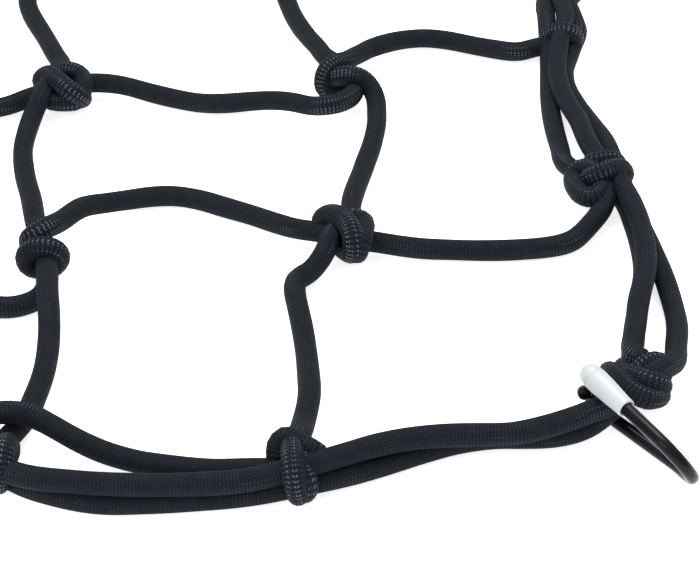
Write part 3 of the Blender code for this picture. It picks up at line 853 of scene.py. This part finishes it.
@dataclass(frozen=True)
class MouldedCap:
    """Off-white moulded polyethylene: soft gloss and a slight waxy depth."""
    white: str = "#c3c6c8"
    shade: str = "#b9bcc0"
    roughness: float = 0.38

    def make(self) -> bpy.types.Material:
        """Makes the material.

        Returns:
            The cap's material.
        """
        # A plain mould finish: a broad soft highlight and a faint cloud of tone keep the white
        # from looking flat.
        made, tree, shader = new_material("moulded_polyethylene")
        space = node(tree, "TexCoord")
        cloud = node(tree, "TexNoise", inputs={"Vector": space.outputs["Object"], "Scale": 420.0,
                                                         "Detail": 2.0})
        colour = node(tree, "Mix", {"data_type": "RGBA"},
                      {0: cloud.outputs[0], 6: linear(self.white), 7: linear(self.shade)})
        tree.links.new(colour.outputs[2], shader.inputs["Base Color"])
        bump = node(tree, "Bump", inputs={"Strength": 0.06, "Distance": 0.0002,
                                                    "Height": cloud.outputs[0]})
        tree.links.new(bump.outputs[0], shader.inputs["Normal"])
        shader.inputs["Roughness"].default_value = self.roughness
        shader.inputs["IOR"].default_value = 1.51
        return made


@dataclass
class Finishes:
    """The three finishes of the net, each made once."""
    cord: bpy.types.Material = field(default_factory=lambda: BraidedSleeve().make())
    coating: bpy.types.Material = field(default_factory=lambda: DippedCoating().make())
    cap: bpy.types.Material = field(default_factory=lambda: MouldedCap().make())


def settle(piece: bpy.types.Object, nodes: Iterable[str]) -> bpy.types.Object:
    """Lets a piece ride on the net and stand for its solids.

    Args:
        piece: the piece.
        nodes: the solids it stands for.

    Returns:
        The same piece.
    """
    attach(piece, "root")
    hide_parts(*nodes)
    LOG.info("%s stands for %s", piece.name, ", ".join(nodes))
    return piece


# ---- pieces --------------------------------------------------------------------------------
@dataclass
class MeshCord:
    """A row or column cord; a row also takes the turns of each inner knot that it passes."""
    plan: Plan
    line: Line
    number: int
    radius: float = MESH_CORD_R

    def build(self, finish: bpy.types.Material) -> bpy.types.Object:
        """Builds and dresses the cord.

        Args:
            finish: the cord's material.

        Returns:
            The piece.
        """
        mesh = CordMesh()
        row = self.line is Line.ROW
        path = relaxed(evenly(self.plan.mesh_cord(self.line, self.number), 1.0), 4)
        mesh.add(path, self.radius, phase=17.0 * self.number)
        if row:
            for i in range(1, self.plan.cells):
                tie(mesh, self.plan.inner(i, self.number), self.plan.net_knot(i, self.number), 0, self.radius,
                    5.0 * i)
        name = f"{self.line.value}_cord_{self.number}"
        nodes = ([f"row_{self.number}"] if row
                 else [f"column_{self.number}_part_{cell + 1}" for cell in range(self.plan.cells)])
        return settle(mesh.made(name, finish), nodes)


@dataclass
class BorderSide:
    """One side of the border: three cords and the turns that bind them."""
    plan: Plan
    side: Side
    radius: float = CORD_R

    def build(self, finish: bpy.types.Material) -> bpy.types.Object:
        """Builds and dresses the side.

        Args:
            finish: the cord's material.

        Returns:
            The piece.
        """
        mesh = CordMesh()
        for k, cord in enumerate(Cord):
            path = relaxed(evenly(self.plan.strand(self.side.value, cord), 1.0), 5)
            mesh.add(path, self.radius, phase=11.0 * k)
        for index, knot in BORDER_KNOTS.items():
            tie(mesh, knot, self.plan.border_lump(self.side.value, index), self.side.value, self.radius,
                7.0 * index)
        side = self.side.name.lower()
        return settle(mesh.made(f"border_cords_{side}", finish), [f"border_{side}"])


@dataclass
class CornerKnot:
    """The knot that draws two sides of the border together."""
    plan: Plan
    side: Side
    radius: float = CORD_R

    def build(self, finish: bpy.types.Material) -> bpy.types.Object:
        """Builds and dresses the knot.

        Args:
            finish: the cord's material.

        Returns:
            The piece.
        """
        mesh = CordMesh()
        number = self.side.value
        tie(mesh, CORNER, self.plan.corner_lump(number), number, self.radius, 4.0)
        return settle(mesh.made(f"corner_turns_{number + 1}", finish), [f"corner_knot_{number + 1}"])


@dataclass
class WireHook:
    """A bent wire hook with a dipped coating and a moulded cap on its start."""
    plan: Plan
    side: Side
    wire_r: float = 1.5
    half_width: float = 7.5
    turn_at: float = 23.1
    eye_at: float = 3.4
    eye_r: float = 5.6
    eye_aside: float = 0.8
    splay: tuple[float, float] = (1.5, 2.5)
    top: float = 14.4
    heading: float = -58.3
    foot: tuple[float, float] = (6.6, 4.05)
    start: tuple[float, float] = (-12.35, -9.95)
    cap_length: float = 13.0
    cap_wide_r: float = 2.7
    cap_narrow_r: float = 2.05

    def axes(self) -> tuple[np.ndarray, np.ndarray, np.ndarray, np.ndarray]:
        """Works out the axes of the front right hook.

        Returns:
            The cap's start, then the directions along, up and aside.
        """
        angle = math.radians(self.heading)
        length = np.array([math.cos(angle), math.sin(angle), 0.0])
        foot = np.array([*self.foot, self.wire_r - self.top])
        foot -= length * foot.dot(length)
        up = -foot / np.linalg.norm(foot)
        corner = self.plan.border_knot(0, self.plan.cells)
        begin = np.array([corner[0] + self.start[0], corner[1] + self.start[1], self.top])
        return begin, length, up, np.cross(length, up)

    def placed(self, points: np.ndarray) -> np.ndarray:
        """Places points of the hook at its own corner.

        Args:
            points: distances along, up and aside.

        Returns:
            The points on the net.
        """
        begin, length, up, aside = self.axes()
        world = begin + points[:, :1] * length + points[:, 1:2] * up + points[:, 2:3] * aside
        flat = np.stack([turned(point[:2], self.side.value) for point in world])
        return np.concatenate([flat, world[:, 2:3]], axis=1)

    def wire(self) -> np.ndarray:
        """Draws the axis of the wire from inside the cap to its end at the eye.

        Returns:
            The axis's points.
        """
        low = -2.0 * self.half_width
        stops = [(2.0, 0.0, 0.0), (self.turn_at - 6.0, 0.0, 0.0)]
        for degrees in range(90, -91, -15):
            turn = math.radians(degrees)
            stops.append((self.turn_at + self.half_width * math.cos(turn),
                          self.half_width * (math.sin(turn) - 1.0), 0.0))
        for share in (0.35, 0.7, 1.0):
            run = self.turn_at + (self.eye_at - self.turn_at) * share
            stops.append((run, low + self.splay[0] * share, self.splay[1] * share))
        for step in range(1, 11):
            turn = math.radians(270.0 - 15.0 * step)
            stops.append((self.eye_at + self.eye_r * math.cos(turn),
                          low + self.splay[0] + self.eye_r * (math.sin(turn) + 1.0),
                          self.splay[1] + self.eye_aside * (step / 8.0) ** 2))
        return self.placed(np.array(stops))

    def cap_shape(self) -> tuple[np.ndarray, list[list[int]]]:
        """Shapes the cap: a domed wide end, a collar, a taper and a rolled rim.

        Returns:
            Its vertices and faces.
        """
        wide, narrow, end = self.cap_wide_r, self.cap_narrow_r, self.cap_length
        profile = [(-2.3, 0.35), (-2.2, 0.9), (-1.8, 1.6), (-1.1, 2.15), (-0.2, 2.5), (0.8, 2.62),
                   (1.5, 2.62),
                   (1.7, 2.5), (1.9, wide), (2.6, wide), (5.0, 2.62), (8.0, 2.42), (11.0, 2.2),
                   (12.3, narrow + 0.1),
                   (end - 0.2, narrow + 0.05), (end, narrow - 0.12), (end - 0.15, self.wire_r + 0.1),
                   (end - 2.0, self.wire_r + 0.02)]
        sides = 32
        around = np.linspace(0.0, 2.0 * math.pi, sides, endpoint=False)
        points = [np.stack([np.full(sides, s), r * np.cos(around), r * np.sin(around)], axis=1) for s,
                  r in profile]
        rings = len(profile)
        faces = [[k * sides + m, k * sides + (m + 1) % sides, (k + 1) * sides + (m + 1) % sides,
                  (k + 1) * sides + m]
                 for k in range(rings - 1) for m in range(sides)]
        faces.append(list(range(sides))[::-1])
        faces.append([(rings - 1) * sides + m for m in range(sides)])
        return self.placed(np.concatenate(points)), faces

    def build(self, finishes: Finishes) -> list[bpy.types.Object]:
        """Builds and dresses the wire and the cap.

        Args:
            finishes: the net's finishes.

        Returns:
            The wire and the cap.
        """
        number = self.side.value + 1
        tube = CordMesh(sides=20, step=0.8)
        tube.add(smooth(self.wire()), self.wire_r)
        wire = settle(tube.made(f"coated_wire_{number}", finishes.coating),
                      [f"hook_wire_{number}"])
        points, faces = self.cap_shape()
        mesh = bpy.data.meshes.new(f"moulded_cap_{number}")
        mesh.from_pydata((points * MM).tolist(), [], faces)
        mesh.materials.append(finishes.cap)
        mesh.shade_smooth()
        mesh.update()
        cap = linked(f"moulded_cap_{number}", mesh)
        return [wire, settle(cap, [f"hook_cap_{number}"])]


# ---- studio --------------------------------------------------------------------------------
@dataclass
class Studio:
    """Pale floor, soft overhead light and the camera at the front right corner of the net."""
    aim: Point = (110.96, -130.87, 0.0)
    distance: float = 482.1
    elevation: float = 40.0
    focal_px: float = 2000.0
    width_px: int = 700

    def floor(self) -> None:
        """Lays the floor."""
        mesh = bpy.data.meshes.new("floor")
        half = 3.0
        mesh.from_pydata([(-half, -half, 0), (half, -half, 0), (half, half, 0), (-half, half, 0)], [],
                         [[0, 1, 2, 3]])
        made, _, shader = new_material("pale_floor")
        shader.inputs["Base Color"].default_value = linear("#f4f4f4")
        shader.inputs["Roughness"].default_value = 0.9
        shader.inputs["Emission Color"].default_value = linear("#ffffff")
        shader.inputs["Emission Strength"].default_value = 0.75
        mesh.materials.append(made)
        linked("floor", mesh)

    def lamp(self, name: str, place: Point, size: float, power: float) -> None:
        """Hangs one soft square lamp that looks at the corner of the net.

        Args:
            name: the lamp's name.
            place: where it hangs, metres.
            size: side of the square, metres.
            power: watts.
        """
        light = bpy.data.lights.new(name, "AREA")
        light.size = size
        light.energy = power
        held = linked(name, light)
        held.location = place
        look = Vector([value * MM for value in self.aim]) - Vector(place)
        held.rotation_euler = look.to_track_quat("-Z", "Y").to_euler()

    def camera(self) -> None:
        """Sets up the camera."""
        lens = bpy.data.cameras.new("camera")
        lens.sensor_width = 36.0
        lens.lens = 36.0 * self.focal_px / self.width_px
        lens.clip_start = 0.01
        held = linked("camera", lens)
        tilt = math.radians(self.elevation)
        aim = Vector(self.aim) * MM
        held.location = aim + Vector((0.0, -math.cos(tilt), math.sin(tilt))) * self.distance * MM
        held.rotation_euler = (math.radians(90.0 - self.elevation), 0.0, 0.0)
        bpy.context.scene.camera = held

    def build(self) -> None:
        """Sets the whole studio up."""
        self.floor()
        self.camera()
        self.lamp("overhead", (0.1, 0.35, 1.1), 0.9, 14.0)
        self.lamp("front_left", (-0.8, -0.9, 0.9), 0.7, 6.0)
        world = bpy.data.worlds.new("studio")
        world.use_nodes = True
        sky = world.node_tree.nodes["Background"]
        sky.inputs["Color"].default_value = linear("#ffffff")
        sky.inputs["Strength"].default_value = 0.7
        bpy.context.scene.world = world
        bpy.context.scene.view_settings.view_transform = "Standard"


def main() -> None:
    """Builds the net piece by piece and reports each one."""
    logging.basicConfig(level=logging.INFO, format="%(message)s")
    plan, finishes = Plan(), Finishes()
    Studio().build()
    for side in Side:
        BorderSide(plan, side).build(finishes.cord)
        CornerKnot(plan, side).build(finishes.cord)
        WireHook(plan, side).build(finishes)
    for number in range(1, CELLS):
        MeshCord(plan, Line.ROW, number).build(finishes.cord)
        MeshCord(plan, Line.COLUMN, number).build(finishes.cord)


if __name__ == "__main__":
    main()
